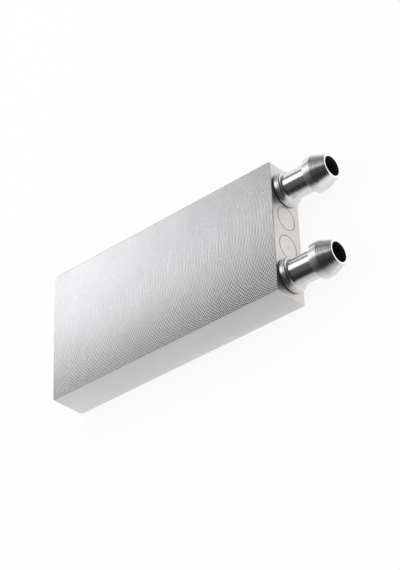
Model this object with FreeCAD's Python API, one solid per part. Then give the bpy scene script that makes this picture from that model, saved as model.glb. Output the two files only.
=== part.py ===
"""Liquid cooling cold plate: a drilled aluminium block with two turned hose barbs on one end.

Four long channels are drilled through the block and joined into one serpentine by windows cut in
the webs between them. Barbs close the two outer channels at the front end, and flush round plugs
close the other six channel ends.

Lengths are in millimetres. The origin is the middle of the resting face. +Z leaves the milled cold
face, and +X leaves the front end, along the barbs.
"""
import FreeCAD, Part
import os

Vector = FreeCAD.Vector

# Channels, side by side at mid-thickness
CHANNEL_COUNT = 4
CHANNEL_DIAMETER = 6.4

# Seats that are counterbored into both ends of each channel
SEAT_STEP = 0.3
SEAT_DEPTH = 5.0
PRESS_GAP = 0.01

# Plate: its length, and the metal left between the seats and around them
PLATE_LENGTH = 80.0
SEAT_WEB = 1.9
SIDE_WALL = 3.15
FACE_WALL = 2.0
PLATE_EDGE_BREAK = 0.2

# Windows between neighbouring channels, cut sideways by a keyseat cutter inside each channel
WINDOW_LENGTH = 6.5
WINDOW_SETBACK = 0.5
WINDOW_OVERLAP = 0.65
CUTTER_CLEARANCE = 0.1

# Plugs
PLUG_RIM_BREAK = 0.1

# Seals under the barb flanges
SEAL_THICKNESS = 0.3
SEAL_INSET = 0.05
SEAL_BORE_CLEARANCE = 0.05

# Barb walls around the through bore
SPIGOT_WALL = 0.64
SHANK_WALL = 0.95
TIP_WALL = 0.6

# Barb flange, from the plate outwards: rim, groove, chamfered tier and a cove onto the shank
FLANGE_RIM_LENGTH = 1.05
FLANGE_GROOVE_WIDTH = 0.2
FLANGE_GROOVE_DEPTH = 0.15
FLANGE_TIER_STEP = 0.1
FLANGE_TIER_LENGTH = 0.2
FLANGE_TIER_CHAMFER = 0.25
SHANK_COVE = 0.75

# Barb head: a square shoulder, a round band and a cone down to the tip
SHANK_LENGTH = 6.95
HEAD_OVERHANG = 1.1
HEAD_BAND_LENGTH = 2.3
HEAD_CONE_LENGTH = 4.0
HEAD_EDGE_BREAK = 0.12

# Sizes that several pieces share
CHANNEL_RADIUS = CHANNEL_DIAMETER / 2
SEAT_RADIUS = CHANNEL_RADIUS + SEAT_STEP
PRESSED_RADIUS = SEAT_RADIUS - PRESS_GAP
CHANNEL_PITCH = 2 * SEAT_RADIUS + SEAT_WEB
CUTTER_RADIUS = CHANNEL_RADIUS - CUTTER_CLEARANCE
PLATE_WIDTH = (CHANNEL_COUNT - 1) * CHANNEL_PITCH + 2 * (SEAT_RADIUS + SIDE_WALL)
PLATE_THICKNESS = 2 * (SEAT_RADIUS + FACE_WALL)
MID_HEIGHT = PLATE_THICKNESS / 2
FRONT_X = PLATE_LENGTH / 2
BORE_RADIUS = PRESSED_RADIUS - SPIGOT_WALL
SHANK_RADIUS = BORE_RADIUS + SHANK_WALL
TIER_RADIUS = SHANK_RADIUS + SHANK_COVE + FLANGE_TIER_CHAMFER
FLANGE_RADIUS = TIER_RADIUS + FLANGE_TIER_STEP
RIM_END = SEAL_THICKNESS + FLANGE_RIM_LENGTH
GROOVE_END = RIM_END + FLANGE_GROOVE_WIDTH
TIER_END = GROOVE_END + FLANGE_TIER_LENGTH + FLANGE_TIER_CHAMFER
SHANK_START = TIER_END + SHANK_COVE

# The axis that every turned piece is drawn on, with its X = 0 on the plate's end face
TURNING_AXIS = Vector(1, 0, 0)


def channel_offset(index):
    """Y of one channel's axis, counted from the -Y side."""
    return (index - (CHANNEL_COUNT - 1) / 2) * CHANNEL_PITCH


def at(x, radius):
    """Point of a turned outline."""
    return Vector(x, radius, 0)


def lines_through(points):
    """Straight edges that join the points in order."""
    return [Part.LineSegment(a, b).toShape() for a, b in zip(points, points[1:])]


def arc_about(centre, start, end):
    """Arc of less than half a turn about centre."""
    towards_middle = start + end - centre * 2
    towards_middle.normalize()
    middle = centre + towards_middle * (start - centre).Length
    return Part.Arc(start, middle, end).toShape()


def turned(edges):
    """Solid of revolution from a closed outline."""
    outline = Part.Face(Part.Wire(edges))
    return outline.revolve(Vector(), TURNING_AXIS, 360)


def turned_corners(corners):
    """Solid of revolution from the corners of a closed outline."""
    return turned(lines_through(corners + corners[:1]))


def at_front(piece, offset):
    """Copy of a turned piece on one channel's axis, at the front end."""
    placed = piece.copy()
    placed.translate(Vector(FRONT_X, offset, MID_HEIGHT))
    return placed


def at_rear(piece, offset):
    """Copy of a turned piece on one channel's axis, at the rear end."""
    placed = piece.copy()
    placed.rotate(Vector(), Vector(0, 0, 1), 180)
    placed.translate(Vector(-FRONT_X, offset, MID_HEIGHT))
    return placed


def make_blank():
    """Plate before drilling. The cold face is milled last, so only its four edges stay sharp."""
    corner = Vector(-FRONT_X, -PLATE_WIDTH / 2, 0)
    blank = Part.makeBox(PLATE_LENGTH, PLATE_WIDTH, PLATE_THICKNESS, corner)
    broken = [edge for edge in blank.Edges if edge.BoundBox.ZMin < MID_HEIGHT]
    return blank.makeChamfer(PLATE_EDGE_BREAK, broken)


def make_bore(radius, start, end, offset):
    """Round cut along X, at mid-thickness."""
    return Part.makeCylinder(radius, end - start, Vector(start, offset, MID_HEIGHT), TURNING_AXIS)


def make_side_cut(start, low, high):
    """Space that the keyseat cutter sweeps as it moves sideways from low to high."""
    bottom = MID_HEIGHT - CUTTER_RADIUS
    top = MID_HEIGHT + CUTTER_RADIUS
    low_bottom = Vector(start, low, bottom)
    high_bottom = Vector(start, high, bottom)
    high_top = Vector(start, high, top)
    low_top = Vector(start, low, top)
    high_side = Vector(start, high + CUTTER_RADIUS, MID_HEIGHT)
    low_side = Vector(start, low - CUTTER_RADIUS, MID_HEIGHT)
    outline = Part.Wire([
        Part.LineSegment(low_bottom, high_bottom).toShape(),
        Part.Arc(high_bottom, high_side, high_top).toShape(),
        Part.LineSegment(high_top, low_top).toShape(),
        Part.Arc(low_top, low_side, low_bottom).toShape(),
    ])
    return Part.Face(outline).extrude(TURNING_AXIS * WINDOW_LENGTH)


def make_window(web):
    """Two side cuts that meet in one web: at the rear in even webs, at the front in odd ones."""
    inset = SEAT_DEPTH + WINDOW_SETBACK
    start = FRONT_X - inset - WINDOW_LENGTH if web % 2 else inset - FRONT_X
    travel = CHANNEL_PITCH / 2 - CUTTER_RADIUS + WINDOW_OVERLAP
    lower = channel_offset(web)
    upper = channel_offset(web + 1)
    lower_cut = make_side_cut(start, lower, lower + travel)
    upper_cut = make_side_cut(start, upper - travel, upper)
    return lower_cut.fuse(upper_cut)


def make_plate():
    """Drilled plate with its seats and windows."""
    cuts = [make_window(web) for web in range(CHANNEL_COUNT - 1)]
    for index in range(CHANNEL_COUNT):
        offset = channel_offset(index)
        cuts.append(make_bore(CHANNEL_RADIUS, -FRONT_X, FRONT_X, offset))
        cuts.append(make_bore(SEAT_RADIUS, -FRONT_X, SEAT_DEPTH - FRONT_X, offset))
        cuts.append(make_bore(SEAT_RADIUS, FRONT_X - SEAT_DEPTH, FRONT_X, offset))
    return make_blank().cut(cuts).removeSplitter()


def make_plug():
    """Round plug that fills a seat and ends flush with the plate."""
    return turned_corners([
        at(-SEAT_DEPTH, 0),
        at(-SEAT_DEPTH, PRESSED_RADIUS),
        at(-PLUG_RIM_BREAK, PRESSED_RADIUS),
        at(0, PRESSED_RADIUS - PLUG_RIM_BREAK),
        at(0, 0),
    ])


def make_seal():
    """Flat washer between the plate and a barb's flange."""
    inner = PRESSED_RADIUS + SEAL_BORE_CLEARANCE
    outer = FLANGE_RADIUS - SEAL_INSET
    return turned_corners([
        at(0, inner),
        at(0, outer),
        at(SEAL_THICKNESS, outer),
        at(SEAL_THICKNESS, inner),
    ])


def spigot_outline():
    """Outline of the spigot, from the bore to the back of the flange."""
    return lines_through([
        at(-SEAT_DEPTH, BORE_RADIUS),
        at(-SEAT_DEPTH, PRESSED_RADIUS),
        at(SEAL_THICKNESS, PRESSED_RADIUS),
    ])


def flange_outline():
    """Outline of the flange, from its back to the shank."""
    cove_start = at(TIER_END, SHANK_RADIUS + SHANK_COVE)
    tiers = lines_through([
        at(SEAL_THICKNESS, PRESSED_RADIUS),
        at(SEAL_THICKNESS, FLANGE_RADIUS),
        at(RIM_END, FLANGE_RADIUS),
        at(RIM_END + FLANGE_GROOVE_WIDTH / 2, FLANGE_RADIUS - FLANGE_GROOVE_DEPTH),
        at(GROOVE_END, TIER_RADIUS),
        at(TIER_END - FLANGE_TIER_CHAMFER, TIER_RADIUS),
        cove_start,
    ])
    cove_centre = at(SHANK_START, SHANK_RADIUS + SHANK_COVE)
    return tiers + [arc_about(cove_centre, cove_start, at(SHANK_START, SHANK_RADIUS))]


def head_outline():
    """Outline of the shank, the head and the bore, from the flange back to the spigot."""
    shoulder = SHANK_START + SHANK_LENGTH
    band_end = shoulder + HEAD_BAND_LENGTH
    tip = band_end + HEAD_CONE_LENGTH
    head_radius = SHANK_RADIUS + HEAD_OVERHANG
    tip_radius = BORE_RADIUS + TIP_WALL
    return lines_through([
        at(SHANK_START, SHANK_RADIUS),
        at(shoulder, SHANK_RADIUS),
        at(shoulder, head_radius - HEAD_EDGE_BREAK),
        at(shoulder + HEAD_EDGE_BREAK, head_radius),
        at(band_end, head_radius),
        at(tip - HEAD_EDGE_BREAK, tip_radius),
        at(tip, tip_radius - HEAD_EDGE_BREAK),
        at(tip, BORE_RADIUS),
        at(-SEAT_DEPTH, BORE_RADIUS),
    ])


def make_barb():
    """Hose barb in one piece, with a spigot that fills its seat and a bore right through."""
    return turned(spigot_outline() + flange_outline() + head_outline())


def make_pieces():
    """Every separate piece by name, in place."""
    offsets = [channel_offset(index) for index in range(CHANNEL_COUNT)]
    barb = make_barb()
    seal = make_seal()
    plug = make_plug()
    pieces = {"plate": make_plate()}
    for name, offset in (("inlet", offsets[-1]), ("outlet", offsets[0])):
        pieces[f"{name}_barb"] = at_front(barb, offset)
        pieces[f"{name}_seal"] = at_front(seal, offset)
    for number, offset in enumerate(offsets[1:-1], 1):
        pieces[f"front_plug_{number}"] = at_front(plug, offset)
    for number, offset in enumerate(offsets, 1):
        pieces[f"rear_plug_{number}"] = at_rear(plug, offset)
    return pieces


os.makedirs("parts", exist_ok=True)
for node, shape in make_pieces().items():
    shape.exportStep(f"parts/{node}.step")
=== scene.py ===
import math

import bmesh
import bpy
import numpy as np
from mathutils import Matrix, Vector


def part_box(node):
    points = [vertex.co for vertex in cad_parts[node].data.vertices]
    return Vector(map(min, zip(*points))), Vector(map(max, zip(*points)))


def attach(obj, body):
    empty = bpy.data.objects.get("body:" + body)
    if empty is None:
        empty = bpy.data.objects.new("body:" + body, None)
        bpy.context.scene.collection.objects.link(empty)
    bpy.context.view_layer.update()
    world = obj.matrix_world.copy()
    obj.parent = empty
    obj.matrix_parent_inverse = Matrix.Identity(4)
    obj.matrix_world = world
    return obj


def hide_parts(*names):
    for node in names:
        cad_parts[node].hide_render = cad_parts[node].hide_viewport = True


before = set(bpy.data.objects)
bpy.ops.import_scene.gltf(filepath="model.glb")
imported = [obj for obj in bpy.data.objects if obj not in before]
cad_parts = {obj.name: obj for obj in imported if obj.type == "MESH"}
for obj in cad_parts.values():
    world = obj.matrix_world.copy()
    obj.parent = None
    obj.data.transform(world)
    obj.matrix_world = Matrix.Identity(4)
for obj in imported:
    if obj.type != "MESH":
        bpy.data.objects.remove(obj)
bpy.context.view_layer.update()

bpy.context.scene.view_settings.view_transform = "Standard"

MM = 0.001
rng = np.random.default_rng(4488)

# Sizes in millimetres, in the frame of the part: X runs to the barbs, Z up from the floor.
HALF_LENGTH, HALF_WIDTH = 40.0, 20.0    # of the plate, where light or tone follows its edges
MILL_PITCH = 0.49           # feed of the face mill per turn
MILL_RADIUS = 46.0          # radius of the arcs it leaves
MILL_CENTRE_Y = 2.0         # the cutter ran a little off the plate's middle line
MILL_DEPTH = 0.088          # from the crests to the bottoms of the marks
HATCH_PITCH = 0.98          # the coarser hatch of the roughing cutter under them
HATCH_RADIUS = 25.0
HATCH_CENTRE_Y = 1.0
HATCH_DEPTH = 0.01
PAINTED_SHADE_START = 15.0          # the y from which the painted shade deepens, down to the side at -HALF_WIDTH
HATCH_PAINTED_SHADE = 0.50       # share of the tone lost at that side as painted shade, crests and valleys together
HATCH_PAINTED_RELIEF_SHADING = 0.66       # swing of the tone from crest to valley there: painted shade in the valleys, painted sheen on the crests
HATCH_TRAILING = 0.65       # share of that swing which the trailing sweep makes
WIDEST_ROW = 0.8            # of the grid that carries the relief, across the plate
EDGE_BREAK = 0.2            # of the plate's other edges, as in the CAD
SKIRT = 0.3                 # how far below the cold face the milled relief is joined on

SPIGOT_LENGTH = 5.0
SPIGOT_RADIUS = 3.49
BORE_RADIUS = 2.85
FLANGE_RADIUS = 4.9
FLANGE_START = 0.3
FLANGE_RIM_END = 1.4
TIER_RADIUS = 4.82
TIER_END = 1.82
SHANK_RADIUS = 3.8
COVE_START = 2.0
COVE_END = 2.75
COVE_RIDGES = 3
COVE_RIDGE_DEPTH = 0.014
FILED_END = 2.45            # in the cove, where the dull finish of the flange ends
HEAD_START = 9.7
BAND_END = 12.0
BAND_EASING = 0.08
TIP = 16.0
TIP_RADIUS = 3.45
TIP_BREAK = 0.12
CONE_GROOVES = 6
CONE_GROOVE_WIDTH = 0.32
CONE_GROOVE_DEPTH = 0.016

PLUG_EDGE_BREAK = 0.1       # of its hidden rim, as in the CAD
PLUG_RING_PITCH = 0.42
PLUG_RING_DEPTH = 0.02

NEAR = 1e-6                 # metres: closer than this is touching
ON_PLANE = 1e-8             # metres: how true the cuts at the plate's sides are

# The order of the plate's and the barbs' materials.
MILLED, SATIN, CUT, CHANNEL = range(4)
TURNED, BORE, FILED, TIP_FACE = range(4)


# ---------------------------------------------------------------- camera and studio

def add_camera():
    """From the barbs' end and above, rolled so that the plate climbs across the picture."""
    aim = Vector((4.16, 3.14, -0.90)) * MM
    distance = 539.88 * MM
    azimuth, elevation, roll = (math.radians(a) for a in (-44.71, 39.66, 59.86))
    back = Vector((math.cos(elevation) * math.cos(azimuth),
                   math.cos(elevation) * math.sin(azimuth),
                   math.sin(elevation)))
    level = Vector((-math.sin(azimuth), math.cos(azimuth), 0))
    upright = back.cross(level)
    right = level * math.cos(roll) - upright * math.sin(roll)
    up = upright * math.cos(roll) + level * math.sin(roll)
    data = bpy.data.cameras.new("camera")
    data.sensor_width = 36
    data.lens = 125.53
    data.clip_start, data.clip_end = 0.01, 20
    camera = bpy.data.objects.new("camera", data)
    turn = Matrix((right, up, back)).transposed().to_4x4()
    camera.matrix_world = Matrix.Translation(aim + back * distance) @ turn
    bpy.context.scene.collection.objects.link(camera)
    bpy.context.scene.camera = camera


def sums(tree, operation, first, second=0.0):
    """One step of arithmetic in a node tree, on outputs or plain numbers."""
    node = tree.nodes.new("ShaderNodeMath")
    node.operation = operation
    for term, socket in zip((first, second), node.inputs):
        if isinstance(term, (int, float)):
            socket.default_value = term
        else:
            tree.links.new(term, socket)
    return node.outputs[0]


def greys(tree, value, stops):
    """Greys by value, from stops of (value, grey)."""
    lowest, highest = stops[0][0], stops[-1][0]
    ramp = tree.nodes.new("ShaderNodeValToRGB")
    while len(ramp.color_ramp.elements) < len(stops):
        ramp.color_ramp.elements.new(0.5)
    for element, (at, grey) in zip(ramp.color_ramp.elements, stops):
        element.position = (at - lowest) / (highest - lowest)
        element.color = (grey, grey, grey, 1)
    share = sums(tree, "DIVIDE", sums(tree, "SUBTRACT", value, lowest), highest - lowest)
    tree.links.new(share, ramp.inputs[0])
    return ramp.outputs[0]


def add_world():
    """An even white level for matt surfaces. Polished metal mirrors a studio round the long
    axis of the plate instead: a light wall behind it, a dim ceiling, a dark room in front, and
    one light patch overhead for the barbs' cones. The camera sees plain white."""
    world = bpy.data.worlds.new("studio")
    bpy.context.scene.world = world
    world.use_nodes = True
    world.cycles.sampling_method = "NONE"
    tree = world.node_tree
    tree.nodes.clear()
    new, link = tree.nodes.new, tree.links.new

    def both(operation, first, second):
        """Two greys joined into one."""
        node = new("ShaderNodeVectorMath")
        node.operation = operation
        link(first, node.inputs[0])
        link(second, node.inputs[1])
        return node.outputs[0]

    direction = new("ShaderNodeTexCoord")
    axes = new("ShaderNodeSeparateXYZ")
    link(direction.outputs["Generated"], axes.inputs[0])
    angle = sums(tree, "ARCTAN2", axes.outputs["Z"], axes.outputs["Y"])
    angle = sums(tree, "DEGREES", angle)
    round_the_plate = greys(tree, angle, [
        (0, 1.30),       # light wall behind, down to the floor
        (12, 1.20),
        (22, 0.98),
        (30, 0.50),
        (38, 0.32),
        (50, 0.30),
        (90, 0.20),      # overhead
        (105, 0.14),
        (130, 0.12),
        (142, 0.055),    # the dark room in front
        (172, 0.035),
        (180, 0.06),
    ])
    along_the_plate = greys(tree, axes.outputs["X"], [
        (-1.00, 1.90),   # towards the plate's far end
        (-0.80, 1.90),
        (-0.65, 1.35),
        (-0.49, 0.87),
        (-0.35, 0.62),
        (-0.20, 0.10),   # the gap beside the softbox
        (-0.07, 0.45),
        (0.10, 0.55),
        (0.30, 0.25),
        (0.60, 0.12),    # towards the barbs
        (1.00, 0.12),
    ])
    patch_round = greys(tree, angle, [(70, 0), (76, 1.2), (85, 1.2), (91, 0)])
    patch_along = greys(tree, axes.outputs["X"], [(-0.06, 0), (0.0, 1), (0.15, 1), (0.22, 0)])
    room = both("MAXIMUM", both("MULTIPLY", round_the_plate, along_the_plate),
                both("MULTIPLY", patch_round, patch_along))

    studio, level, white = (new("ShaderNodeBackground") for _ in range(3))
    link(room, studio.inputs["Color"])
    level.inputs["Color"].default_value = (1, 1, 1, 1)
    level.inputs["Strength"].default_value = 0.85
    white.inputs["Color"].default_value = (1, 1, 1, 1)
    rays = new("ShaderNodeLightPath")
    lit, seen = new("ShaderNodeMixShader"), new("ShaderNodeMixShader")
    link(rays.outputs["Is Glossy Ray"], lit.inputs[0])
    link(level.outputs[0], lit.inputs[1])
    link(studio.outputs[0], lit.inputs[2])
    link(rays.outputs["Is Camera Ray"], seen.inputs[0])
    link(lit.outputs[0], seen.inputs[1])
    link(white.outputs[0], seen.inputs[2])
    link(seen.outputs[0], new("ShaderNodeOutputWorld").inputs["Surface"])


def add_softbox():
    """One large soft lamp above and behind the plate, which makes the streak along the barbs."""
    lift = math.radians(68.5)       # above the floor, seen from the plate's long axis
    reach, along = 690 * MM, -432 * MM
    data = bpy.data.lights.new("softbox", "AREA")
    data.shape = "RECTANGLE"
    data.size, data.size_y = 935 * MM, 488 * MM
    radiance = 1.02                 # a little over the white of the world
    data.energy = radiance * math.pi * data.size * data.size_y
    lamp = bpy.data.objects.new("softbox", data)
    lamp.location = (along, reach * math.cos(lift), reach * math.sin(lift))
    lamp.rotation_euler = (lift - math.pi / 2, 0, 0)
    lamp.visible_camera = False
    bpy.context.scene.collection.objects.link(lamp)


def floor_fade(tree):
    """The greys that polished metal mirrors from the floor. They fall off in front of the plate,
    faster towards the barbs and beside them, and a light card lies under the barbs' heads."""
    slant = 0.12                            # how much sooner they fall off for each mm along X
    slant_ease, beside_ease = 3.0, 8.0      # in front of the plate, until these count in full
    beside_start = 46.0
    card_start, card_lift, card_side = 54.0, 5.0, -16.0

    def step(operation, first, second=0.0):
        return sums(tree, operation, first, second)

    def past(start, value):
        return step("MAXIMUM", step("SUBTRACT", value, start), 0.0)

    def eased_in(distance, length):
        return step("MINIMUM", step("DIVIDE", distance, length), 1.0)

    place, axes = tree.nodes.new("ShaderNodeTexCoord"), tree.nodes.new("ShaderNodeSeparateXYZ")
    tree.links.new(place.outputs["Object"], axes.inputs[0])
    x, y = (step("DIVIDE", axes.outputs[k], MM) for k in "XY")
    in_front = step("MAXIMUM", step("SUBTRACT", -HALF_WIDTH, y), 0.0)
    slanted = step("MULTIPLY", step("MULTIPLY", step("ADD", x, HALF_LENGTH), slant),
                   eased_in(in_front, slant_ease))
    beside = step("MULTIPLY", past(beside_start, x), eased_in(in_front, beside_ease))
    card = step("MULTIPLY", step("MINIMUM", past(card_start, x), card_lift),
                step("GREATER_THAN", y, card_side))
    away = step("SUBTRACT", step("ADD", in_front, step("ADD", slanted, beside)), card)
    return greys(tree, away, [(-5, 1.15), (0, 0.87), (8, 0.74), (16, 0.60), (30, 0.42),
                              (50, 0.25), (100, 0.12)])


def add_floor():
    """A plain white floor that keeps the object's soft shadow."""
    side = 3.0
    mesh = bpy.data.meshes.new("floor")
    corners = [(-side, -side, 0), (side, -side, 0), (side, side, 0), (-side, side, 0)]
    mesh.from_pydata(corners, [], [(0, 1, 2, 3)])
    floor = bpy.data.objects.new("floor", mesh)
    bpy.context.scene.collection.objects.link(floor)

    material = bpy.data.materials.new("floor_white")
    material.use_nodes = True
    material.cycles.emission_sampling = "NONE"
    mesh.materials.append(material)
    tree = material.node_tree
    tree.nodes.clear()
    new, link = tree.nodes.new, tree.links.new

    matt, backdrop, mirrored = (new("ShaderNodeBsdfDiffuse"), new("ShaderNodeEmission"),
                                new("ShaderNodeEmission"))
    matt.inputs["Color"].default_value = (0.94, 0.94, 0.94, 1)
    backdrop.inputs["Color"].default_value = (1, 1, 1, 1)
    link(floor_fade(tree), mirrored.inputs["Color"])
    rays = new("ShaderNodeLightPath")
    # Each share leaves the rest to the matt floor, which carries the shadow.
    layers = [(backdrop, rays.outputs["Is Camera Ray"], 0.88),
              (backdrop, rays.outputs["Is Transmission Ray"], 0.88),
              (mirrored, rays.outputs["Is Glossy Ray"], 0.85)]
    surface = matt.outputs[0]
    for glow, kind, share in layers:
        mix = new("ShaderNodeMixShader")
        link(sums(tree, "MULTIPLY", kind, share), mix.inputs[0])
        link(surface, mix.inputs[1])
        link(glow.outputs[0], mix.inputs[2])
        surface = mix.outputs[0]
    link(surface, new("ShaderNodeOutputMaterial").inputs["Surface"])


# ---------------------------------------------------------------- materials

class Finish:
    """A material under construction, on object coordinates in metres."""

    def __init__(self, name, colour, metallic, roughness):
        self.material = bpy.data.materials.new(name)
        self.material.use_nodes = True
        self.tree = self.material.node_tree
        self.shader = self.tree.nodes["Principled BSDF"]
        self.colour = colour
        self.shader.inputs["Base Color"].default_value = (*colour, 1)
        self.shader.inputs["Metallic"].default_value = metallic
        self.shader.inputs["Roughness"].default_value = roughness
        self.roughness = roughness
        self.place = self.add("ShaderNodeTexCoord").outputs["Object"]
        self.normal = None

    def add(self, kind, **settings):
        node = self.tree.nodes.new(kind)
        for name, value in settings.items():
            setattr(node, name, value)
        return node

    def link(self, output, to):
        self.tree.links.new(output, to)

    def noise(self, sizes, detail=2.0, offset=0.0):
        """Noise whose grains measure sizes, in millimetres along X, Y and Z."""
        mapping = self.add("ShaderNodeMapping")
        mapping.inputs["Scale"].default_value = [1 / (s * MM) for s in sizes]
        mapping.inputs["Location"].default_value = (offset, offset, offset)
        self.link(self.place, mapping.inputs["Vector"])
        texture = self.add("ShaderNodeTexNoise")
        texture.inputs["Scale"].default_value = 1.0
        texture.inputs["Detail"].default_value = detail
        self.link(mapping.outputs[0], texture.inputs["Vector"])
        return texture.outputs["Fac"]

    def span(self, value, low, high):
        """value from about 0.3 to 0.7 turned into low to high."""
        node = self.add("ShaderNodeMapRange")
        node.inputs["From Min"].default_value = 0.3
        node.inputs["From Max"].default_value = 0.7
        node.inputs["To Min"].default_value = low
        node.inputs["To Max"].default_value = high
        self.link(value, node.inputs["Value"])
        return node.outputs["Result"]

    def tone(self, value, change):
        """The base colour varies by change, a share of it, with value."""
        low = [c * (1 - change) for c in self.colour]
        high = [min(1.0, c * (1 + change)) for c in self.colour]
        node = self.add("ShaderNodeMix", data_type="RGBA")
        colours = [s for s in node.inputs if s.type == "RGBA"]
        colours[0].default_value = (*low, 1)
        colours[1].default_value = (*high, 1)
        self.link(self.span(value, 0, 1), node.inputs[0])
        result = [s for s in node.outputs if s.type == "RGBA"][0]
        self.link(result, self.shader.inputs["Base Color"])

    def shade(self, value):
        """The base colour so far is multiplied by value."""
        socket = self.shader.inputs["Base Color"]
        node = self.add("ShaderNodeVectorMath", operation="MULTIPLY")
        self.link(socket.links[0].from_socket, node.inputs[0])
        self.link(value, node.inputs[1])
        self.link(node.outputs[0], socket)

    def wear(self, value, change):
        """The roughness varies by change with value."""
        low, high = max(0.02, self.roughness - change), self.roughness + change
        self.link(self.span(value, low, high), self.shader.inputs["Roughness"])

    def bump(self, value, height):
        """Marks of that height, in millimetres, over those already there."""
        node = self.add("ShaderNodeBump")
        node.inputs["Distance"].default_value = height * MM
        self.link(value, node.inputs["Height"])
        if self.normal is not None:
            self.link(self.normal, node.inputs["Normal"])
        self.normal = node.outputs["Normal"]
        self.link(self.normal, self.shader.inputs["Normal"])


def painted_hatch_shading(finish):
    """A tone of about 1 where the roughing cutter's hatch is faint. It darkens as painted shade
    towards the long side at -HALF_WIDTH, and swings more there between painted shade in the
    valleys and painted sheen on the crests."""
    def step(operation, first, second=0.0):
        return sums(finish.tree, operation, first, second)

    def share(value, start, end, low=0.0, high=1.0):
        """low to high as value goes from start to end."""
        node = finish.add("ShaderNodeMapRange")
        finish.link(value, node.inputs["Value"])
        for name, limit in zip(("From Min", "From Max", "To Min", "To Max"),
                               (start, end, low, high)):
            node.inputs[name].default_value = limit
        return node.outputs["Result"]

    axes = finish.add("ShaderNodeSeparateXYZ")
    finish.link(finish.place, axes.inputs[0])
    x, y = (step("DIVIDE", axes.outputs[k], MM) for k in "XY")

    # The two sweeps cross, as in mill_relief.
    off = step("SUBTRACT", y, HATCH_CENTRE_Y)
    chord = step("SUBTRACT", HATCH_RADIUS ** 2, step("MULTIPLY", off, off))
    swing = step("SUBTRACT", HATCH_RADIUS, step("SQRT", chord))
    turn = 2 * math.pi / HATCH_PITCH
    forward = step("COSINE", step("MULTIPLY", step("SUBTRACT", x, swing), turn))
    trailing = step("COSINE", step("MULTIPLY", step("ADD", x, swing), turn))
    both = step("ADD", step("MULTIPLY", forward, 1 - HATCH_TRAILING),
                step("MULTIPLY", trailing, HATCH_TRAILING))

    # Painted light again in the far corner, and painted shade towards the barbs, where the hatch
    # is faint.
    painted_shade_share = share(y, PAINTED_SHADE_START, -HALF_WIDTH)
    painted_corner_light = step("MULTIPLY", step("POWER", painted_shade_share, 2.0), share(x, -HALF_LENGTH, 20.0, 0.4, 0.0))
    kept = step("SUBTRACT", 1.0, painted_corner_light)
    # painted shade towards the long side at -HALF_WIDTH, eased off in the far corner
    dark = step("MULTIPLY", step("MULTIPLY", step("POWER", painted_shade_share, 1.5), HATCH_PAINTED_SHADE), kept)
    # painted shade towards the barbs
    fall = step("MULTIPLY", share(x, -30.0, HALF_LENGTH, 0.0, 0.26), step("SUBTRACT", 1.0, painted_shade_share))
    mean = step("MULTIPLY", step("SUBTRACT", 1.0, dark), step("SUBTRACT", 1.0, fall))
    # painted shade in the hatch's valleys and painted sheen on its crests, stronger towards
    # -HALF_WIDTH
    swings = step("MULTIPLY", step("MULTIPLY", step("POWER", painted_shade_share, 3.3), HATCH_PAINTED_RELIEF_SHADING), kept)
    swings = step("MULTIPLY", step("ADD", swings, 0.03), both)
    # crests may rise a little above the base colour as painted sheen
    return step("MINIMUM", step("ADD", mean, swings), 1.08)


def milled_aluminium():
    """The milled cold face: bright, partly matt from fine tearing, with the hatch's painted
    shade and painted sheen in its colour.
    """
    finish = Finish("milled_aluminium", (0.905, 0.905, 0.925), 0.76, 0.30)
    finish.tone(finish.noise((9, 14, 9), 3), 0.03)
    finish.shade(finish.span(finish.noise((0.5, 0.35, 0.5), 2, 12.0), 0.95, 1.05))
    # painted shade and sheen of the hatch, and painted darkening towards -HALF_WIDTH and towards
    # the barbs
    finish.shade(painted_hatch_shading(finish))
    finish.wear(finish.noise((0.5, 1.5, 0.5), 3, 7.0), 0.03)
    return finish.material


def satin_aluminium():
    """The plate's long sides and back: extruded, satin, with faint lines along the length."""
    finish = Finish("satin_aluminium", (0.79, 0.78, 0.785), 1.0, 0.36)
    finish.tone(finish.noise((14, 6, 3), 3), 0.02)
    finish.wear(finish.noise((2.5, 0.4, 0.4), 4, 5.0), 0.04)
    finish.bump(finish.noise((5.0, 0.06, 0.06), 3, 2.0), 0.002)
    finish.bump(finish.noise((0.15, 0.15, 0.15), 2, 4.0), 0.0015)
    return finish.material


def cut_aluminium():
    """The sawn and side-milled ends: dull and a little warm, with lines along the width."""
    finish = Finish("cut_aluminium", (0.83, 0.80, 0.775), 1.0, 0.42)
    finish.tone(finish.noise((4, 7, 2), 3), 0.03)
    finish.wear(finish.noise((0.3, 2.0, 0.2), 4, 5.0), 0.05)
    finish.bump(finish.noise((1, 6.0, 0.12), 3, 2.0), 0.003)
    finish.bump(finish.noise((0.12, 0.12, 0.12), 2, 9.0), 0.002)
    return finish.material


def bored_aluminium_painted_shade():
    """Drilled channels and bores: darker as painted shade for their hollows, with drill rings.
    """
    # the dark base colour is painted shade inside the bores and channels
    finish = Finish("bored_aluminium_painted_shade", (0.30, 0.29, 0.28), 1.0, 0.40)
    finish.tone(finish.noise((0.6, 3, 3), 2), 0.05)
    finish.bump(finish.noise((0.09, 6, 6), 2, 1.0), 0.003)
    return finish.material


def turned_aluminium():
    """The barbs' shanks, turned bright: fine rings round the axis and a few handling marks."""
    finish = Finish("turned_aluminium", (0.81, 0.81, 0.805), 1.0, 0.14)
    finish.tone(finish.noise((0.4, 5, 5), 3), 0.02)
    finish.wear(finish.noise((0.15, 2.5, 2.5), 3, 3.0), 0.03)
    finish.bump(finish.noise((0.05, 9, 9), 2, 1.0), 0.0012)
    finish.bump(finish.noise((0.8, 0.8, 0.8), 2, 6.0), 0.002)
    return finish.material


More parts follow.
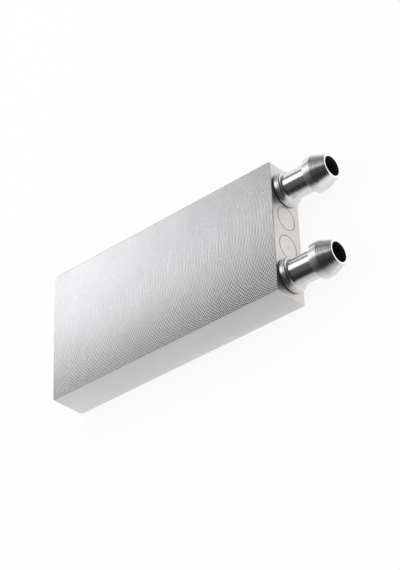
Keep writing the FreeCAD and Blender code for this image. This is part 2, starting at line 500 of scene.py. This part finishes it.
def filed_aluminium():
    """The barbs' flange with the start of its cove, and their heads: dulled with a file."""
    finish = Finish("filed_aluminium", (0.83, 0.83, 0.825), 1.0, 0.28)
    finish.tone(finish.noise((0.3, 4, 4), 3), 0.02)
    finish.wear(finish.noise((0.12, 2.0, 2.0), 3, 3.0), 0.04)
    finish.bump(finish.noise((0.06, 7, 7), 2, 1.0), 0.0015)
    return finish.material


def tip_aluminium():
    """The cut-off ends of the barbs, fresh and bright."""
    finish = Finish("tip_aluminium", (0.95, 0.95, 0.95), 1.0, 0.22)
    finish.tone(finish.noise((1, 0.8, 0.8), 2), 0.02)
    finish.wear(finish.noise((0.4, 0.4, 0.4), 2, 4.0), 0.04)
    return finish.material


def faced_aluminium():
    """The plugs' faces: faced in a lathe, dull."""
    finish = Finish("faced_aluminium", (0.84, 0.815, 0.80), 1.0, 0.40)
    finish.tone(finish.noise((2, 2, 2), 3), 0.03)
    finish.wear(finish.noise((0.3, 0.6, 0.3), 3, 5.0), 0.05)
    finish.bump(finish.noise((0.12, 0.12, 0.12), 2, 2.0), 0.002)
    return finish.material


def black_rubber():
    """The flat seals under the flanges."""
    finish = Finish("black_rubber", (0.018, 0.018, 0.018), 0.0, 0.62)
    finish.tone(finish.noise((0.8, 0.8, 0.8), 3), 0.25)
    finish.wear(finish.noise((0.4, 0.4, 0.4), 2, 5.0), 0.08)
    finish.bump(finish.noise((0.05, 0.05, 0.05), 2, 2.0), 0.004)
    return finish.material


# ---------------------------------------------------------------- mesh helpers

def add_piece(name, mesh, slot_name, *nodes):
    """A piece in the row frame that stands for CAD nodes."""
    piece = bpy.data.objects.new(name, mesh)
    bpy.context.scene.collection.objects.link(piece)
    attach(piece, "root")
    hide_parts(*nodes)
    return piece


def arc(centre, radius, start, end, steps):
    """Points of an arc in the (x, radius) plane, its angles in degrees."""
    angles = np.radians(np.linspace(start, end, steps + 1))
    return [(centre[0] + radius * math.cos(a), centre[1] + radius * math.sin(a)) for a in angles]


def eased(corners, steps=3):
    """A closed outline whose (x, radius, easing) corners are rounded by their easing."""
    points = []
    for i, (x, r, easing) in enumerate(corners):
        here = Vector((x, r))
        if easing == 0:
            points.append((x, r))
            continue
        before = Vector(corners[i - 1][:2]) - here
        after = Vector(corners[(i + 1) % len(corners)][:2]) - here
        start = here + before.normalized() * easing
        end = here + after.normalized() * easing
        for k in range(steps + 1):
            t = k / steps
            point = start * (1 - t) ** 2 + here * 2 * t * (1 - t) + end * t ** 2
            points.append((point.x, point.y))
    return points


def turned(name, outline, place, facing, materials, paint, segments=144, sharp=26):
    """A mesh turned about a line along X through place: outline is (x, radius) in millimetres
    from there, facing is 1 or -1, and paint(x, radius) picks a material's index."""
    vertices, rings = [], []
    angles = np.arange(segments) * 2 * math.pi / segments
    for x, r in outline:
        rings.append((len(vertices), r > 1e-6))
        for a in angles if r > 1e-6 else angles[:1]:
            vertices.append((place[0] + facing * x * MM,
                             place[1] + r * MM * math.cos(a),
                             place[2] + r * MM * math.sin(a)))
    faces, picks = [], []
    for i, (first, open_first) in enumerate(rings):
        j = (i + 1) % len(rings)
        second, open_second = rings[j]
        pick = paint((outline[i][0] + outline[j][0]) / 2, (outline[i][1] + outline[j][1]) / 2)
        for k in range(segments if open_first or open_second else 0):
            n = (k + 1) % segments
            corners = [first + k, first + n] if open_first else [first]
            corners += [second + n, second + k] if open_second else [second]
            faces.append(corners)
            picks.append(pick)
    mesh = bpy.data.meshes.new(name)
    mesh.from_pydata(vertices, [], faces)
    for material in materials:
        mesh.materials.append(material)
    mesh.polygons.foreach_set("material_index", picks)
    body = bmesh.new()
    body.from_mesh(mesh)
    bmesh.ops.recalc_face_normals(body, faces=body.faces)
    body.to_mesh(mesh)
    body.free()
    mesh.shade_smooth()
    mesh.set_sharp_from_angle(angle=math.radians(sharp))
    return mesh


# ---------------------------------------------------------------- the plate

def arc_drop(y, radius, middle):
    """How far a cutter's arc has fallen back along X at y."""
    return radius - np.sqrt(radius ** 2 - (y - middle) ** 2)


def crest(phase):
    """A row of straight-sided ridges: 1 on each crest and 0 midway between two."""
    return np.abs(2 * (phase % 1) - 1)


def mill_rows(half_width):
    """Rows across the plate, closer where the arcs slope more."""
    samples = 4001
    fine = np.linspace(-half_width, half_width, samples)
    sweep = (np.sign(fine - MILL_CENTRE_Y) * arc_drop(fine, MILL_RADIUS, MILL_CENTRE_Y)
             + np.sign(fine - HATCH_CENTRE_Y) * arc_drop(fine, HATCH_RADIUS, HATCH_CENTRE_Y))
    steps = sweep / (HATCH_PITCH / 4) + fine / WIDEST_ROW
    count = int(steps[-1] - steps[0]) + 1
    return np.interp(np.linspace(steps[0], steps[-1], count), steps, fine)


def mill_relief(half_length, half_width):
    """The cold face as a grid that follows the mill's arcs, in millimetres below the crests.
    Fine straight-sided marks run along the arcs; the shallow hatch left by the roughing cutter's
    forward and trailing sweeps crosses them."""
    rows = mill_rows(half_width)
    drop = arc_drop(rows, MILL_RADIUS, MILL_CENTRE_Y)
    step = MILL_PITCH / 2
    first = math.floor((-half_length - drop.max()) / step) - 1
    last = math.ceil((half_length - drop.min()) / step) + 1
    lines = np.arange(first, last + 1)
    x = lines[:, None] * step + drop[None, :]
    y = np.broadcast_to(rows, x.shape)
    cuts = rng.normal(1.0, 0.01, lines.size)[:, None]
    marks = np.where(lines % 2 == 0, 0.0, MILL_DEPTH)[:, None] * cuts
    swing = arc_drop(y, HATCH_RADIUS, HATCH_CENTRE_Y)
    crossed = crest((x - swing) / HATCH_PITCH) + crest((x + swing) / HATCH_PITCH)
    hatch = HATCH_DEPTH * crossed / 2
    tear = rng.normal(0.0, 0.0005, x.shape)
    return x, y, np.maximum(0, marks + hatch + tear)


def relief_mesh(half_length, half_width, top):
    """The relief cut off at the plate's sides and at its broken corners."""
    x, y, depth = mill_relief(half_length, half_width)
    body = bmesh.new()
    corners = [[body.verts.new((x[i, j] * MM, y[i, j] * MM, top - depth[i, j] * MM))
                for j in range(x.shape[1])] for i in range(x.shape[0])]
    for i in range(x.shape[0] - 1):
        for j in range(x.shape[1] - 1):
            if x[i + 1, j:j + 2].max() < -half_length or x[i, j:j + 2].min() > half_length:
                continue
            a, b = corners[i][j], corners[i + 1][j]
            c, d = corners[i + 1][j + 1], corners[i][j + 1]
            body.faces.new((a, b, c))
            body.faces.new((a, c, d))
    for point, outward in plate_sides(half_length, half_width):
        everything = body.verts[:] + body.edges[:] + body.faces[:]
        bmesh.ops.bisect_plane(body, geom=everything, dist=ON_PLANE, clear_outer=True,
                               plane_co=point, plane_no=outward)
    bmesh.ops.delete(body, geom=[v for v in body.verts if not v.link_faces], context="VERTS")
    bmesh.ops.triangulate(body, faces=body.faces[:])
    for face in body.faces:
        face.smooth = False
    return body


def plate_sides(half_length, half_width):
    """A point and an outward direction for each of the plate's eight upright sides."""
    sides = []
    for k in (-1, 1):
        sides.append((Vector((k * half_length * MM, 0, 0)), Vector((k, 0, 0))))
        sides.append((Vector((0, k * half_width * MM, 0)), Vector((0, k, 0))))
        for m in (-1, 1):
            point = Vector((k * half_length * MM, m * (half_width - EDGE_BREAK) * MM, 0))
            sides.append((point, Vector((k, m, 0)).normalized()))
    return sides


def plate_mesh():
    """The CAD plate with the mill's marks cut into its cold face, as one closed skin."""
    low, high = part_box("plate")
    half_length, half_width, top = (high.x / MM, high.y / MM, high.z)
    shell = relief_mesh(half_length, half_width, top)
    edges = {}
    for v in [v for v in shell.verts if v.is_boundary]:
        for k, (point, outward) in enumerate(plate_sides(half_length, half_width)):
            if abs((v.co - point).dot(outward)) < 2 * ON_PLANE:
                edges.setdefault(k, []).append(v)
    marks = set(shell.verts)
    shell.from_mesh(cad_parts["plate"].data)
    plain = [v for v in shell.verts if v not in marks]
    bmesh.ops.remove_doubles(shell, verts=plain, dist=1e-7)
    plain = [v for v in shell.verts if v not in marks]
    cold = []
    for face in {f for v in plain for f in v.link_faces}:
        face.material_index = pick_plate_finish(face, low, high)
        face.smooth = True
        if all(v.co.z > top - NEAR for v in face.verts):
            cold.append(face)
    bmesh.ops.delete(shell, geom=cold, context="FACES")
    rim = [v for v in plain if v.is_valid and v.co.z > top - NEAR]
    for v in rim:
        v.co.z = top - SKIRT * MM
    add_skirt(shell, edges, rim, half_length, half_width)
    bmesh.ops.recalc_face_normals(shell, faces=shell.faces)
    mesh = bpy.data.meshes.new("milled_plate")
    shell.to_mesh(mesh)
    shell.free()
    for material in (milled_aluminium(), satin_aluminium(), cut_aluminium(), bored_aluminium_painted_shade()):
        mesh.materials.append(material)
    mesh.set_sharp_from_angle(angle=math.radians(26))
    for face in mesh.polygons:
        square_on = max(abs(k) for k in face.normal) > 0.9999
        if face.material_index == MILLED or square_on:
            face.use_smooth = False
    return mesh


def pick_plate_finish(face, low, high):
    """Which of the plate's materials a CAD face gets: satin, cut or channel."""
    centre = face.calc_center_median()
    skin = EDGE_BREAK * MM * 1.1
    inside = abs(centre.y) < high.y - skin and low.z + skin < centre.z < high.z - NEAR
    on_end = abs(face.normal.x) > 0.99 and abs(centre.x) > high.x - NEAR
    if inside:
        return CUT if on_end else CHANNEL
    return CUT if abs(face.normal.x) > 0.9 else SATIN


def add_skirt(shell, edges, rim, half_length, half_width):
    """Closes the gap between the relief's edge and the lowered rim of the shell."""
    def below(v):
        return min(rim, key=lambda r: (r.co.xy - v.co.xy).length)

    made = []
    for k, (_, outward) in enumerate(plate_sides(half_length, half_width)):
        along = outward.cross(Vector((0, 0, 1)))
        line = sorted(edges[k], key=lambda v: v.co.dot(along))
        face = shell.faces.new([below(line[0]), below(line[-1]), *reversed(line)])
        face.material_index = CUT if abs(outward.x) > 0.9 else SATIN
        face.smooth = False
        made.append(face)
    bmesh.ops.triangulate(shell, faces=made)


# ---------------------------------------------------------------- barbs, seals and plugs

def cone_grooves():
    """Points down the head's cone, with the narrow grooves that the tool left."""
    start = Vector((BAND_END + BAND_EASING, FLANGE_RADIUS - 0.03))
    end = Vector((TIP - TIP_BREAK, TIP_RADIUS))
    along = (end - start).normalized()
    inward = Vector((along.y, -along.x))
    pitch = (end - start).length / CONE_GROOVES
    half = CONE_GROOVE_WIDTH / 2
    points = []
    for k in range(CONE_GROOVES):
        middle = start + along * pitch * (k + rng.uniform(0.4, 0.6))
        bottom = CONE_GROOVE_DEPTH * rng.uniform(0.7, 1.3)
        for offset, depth in ((-half, 0), (-half * 0.7, bottom), (half, 0)):
            point = middle + along * offset + inward * depth
            points.append((point.x, point.y))
    return points


def cove():
    """Points of the hollow curve from the flange's chamfer down to the shank, with the fine
    ridges of the form tool."""
    top = TIER_RADIUS - (COVE_START - TIER_END)
    wide, high = COVE_END - COVE_START, top - SHANK_RADIUS
    points = []
    for share in np.linspace(0, 1, COVE_RIDGES * 6 + 1):
        angle = math.radians(180 + 90 * share)
        ridge = COVE_RIDGE_DEPTH * (0.5 - 0.5 * math.cos(2 * math.pi * COVE_RIDGES * share))
        points.append((COVE_END + (wide - ridge) * math.cos(angle),
                       top + (high - ridge) * math.sin(angle)))
    return points


def barb_outline():
    """The barb's outline from the plate's front face, round its metal, as a closed loop."""
    neck = [
        (-SPIGOT_LENGTH, BORE_RADIUS, 0), (-SPIGOT_LENGTH, SPIGOT_RADIUS, 0.05),
        (FLANGE_START, SPIGOT_RADIUS, 0), (FLANGE_START, FLANGE_RADIUS, 0.06),
        (FLANGE_RIM_END, FLANGE_RADIUS, 0.02), (FLANGE_RIM_END + 0.05, TIER_RADIUS - 0.05, 0.02),
        (FLANGE_RIM_END + 0.11, TIER_RADIUS, 0.02), (TIER_END, TIER_RADIUS, 0.03),
    ]
    head = [
        (HEAD_START - 1, SHANK_RADIUS, 0), (HEAD_START, SHANK_RADIUS, 0.05),
        (HEAD_START, FLANGE_RADIUS, 0.12), (BAND_END, FLANGE_RADIUS, BAND_EASING),
    ]
    tip = [
        (TIP - TIP_BREAK, TIP_RADIUS, 0.03), (TIP, TIP_RADIUS - TIP_BREAK, 0.05),
        (TIP, BORE_RADIUS, 0.08), (TIP - 3, BORE_RADIUS, 0),
    ]
    hollow = [(x, r, 0) for x, r in cove()]
    grooves = [(x, r, 0) for x, r in cone_grooves()]
    return eased(neck + hollow + head + grooves + tip)


def add_barb(name, node, finishes):
    """A turned hose barb: its spigot sits in the plate, the rest stands out along X."""
    low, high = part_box(node)
    plate_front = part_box("plate")[1].x
    place = (plate_front, (low.y + high.y) / 2, (low.z + high.z) / 2)

    def paint(x, r):
        if r < BORE_RADIUS + 0.01:
            return BORE
        if x > TIP - TIP_BREAK / 2:
            return TIP_FACE
        on_head = x > HEAD_START and r > SHANK_RADIUS + 0.3 or x > BAND_END
        return FILED if x < FILED_END or on_head else TURNED

    mesh = turned(name, barb_outline(), place, 1, finishes, paint, sharp=12)
    add_piece(name, mesh, "barb_aluminium", node)


def add_seal(name, node, rubber):
    """A flat ring, its outer edge squeezed round."""
    low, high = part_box(node)
    thick = (high.x - low.x) / MM
    outer = (high.y - low.y) / 2 / MM
    inner = SPIGOT_RADIUS + 0.05
    place = (low.x, (low.y + high.y) / 2, (low.z + high.z) / 2)
    half, shoulder = thick / 2, outer - 0.06
    bulge = [(half - (r - shoulder), shoulder + (half - abs(x - half)) * 0.4)
             for x, r in arc((half, shoulder), half, 90, -90, 8)]
    mesh = turned(name, [(0, inner), *bulge, (thick, inner)], place, 1, [rubber], lambda x, r: 0)
    add_piece(name, mesh, "seal_rubber", node)


def add_plug(name, node, facing, finish):
    """A pressed plug: a faced disc with turning rings and a centre dimple, and a narrow step
    round it that shows as its seam."""
    low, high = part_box(node)
    depth = (high.x - low.x) / MM
    radius = (high.y - low.y) / 2 / MM
    face_x = high.x if facing > 0 else low.x
    place = (face_x, (low.y + high.y) / 2, (low.z + high.z) / 2)
    back = [(-depth, 0), (-depth, radius - PLUG_EDGE_BREAK), (-depth + PLUG_EDGE_BREAK, radius)]
    seam = [(-0.32, radius), (-0.30, radius - 0.15), (-0.02, radius - 0.17), (0, radius - 0.19)]
    rings = []
    for k in range(int((radius - 0.5) / PLUG_RING_PITCH) * 4 + 1):
        groove = 0.5 - 0.5 * math.cos(math.pi * k / 2)
        rings.append((-PLUG_RING_DEPTH * groove, radius - 0.22 - k * PLUG_RING_PITCH / 4))
    dimple = [(0, 0.42), (-0.05, 0.3), (-0.09, 0.12), (-0.10, 0)]
    outline = back + seam + rings + dimple
    mesh = turned(name, outline, place, facing, [finish], lambda x, r: 0)
    add_piece(name, mesh, "plug_aluminium", node)


# ---------------------------------------------------------------- the whole

add_camera()
add_world()
add_softbox()
add_floor()
add_piece("milled_plate", plate_mesh(), "plate_aluminium", "plate")

barb_finishes = [turned_aluminium(), bored_aluminium_painted_shade(), filed_aluminium(), tip_aluminium()]
faced, rubber = faced_aluminium(), black_rubber()
for end in ("inlet", "outlet"):
    add_barb(f"turned_{end}_barb", f"{end}_barb", barb_finishes)
    add_seal(f"pressed_{end}_seal", f"{end}_seal", rubber)
for node in sorted(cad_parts):
    if node.startswith(("front_plug", "rear_plug")):
        add_plug(f"faced_{node}", node, 1 if node.startswith("front") else -1, faced)
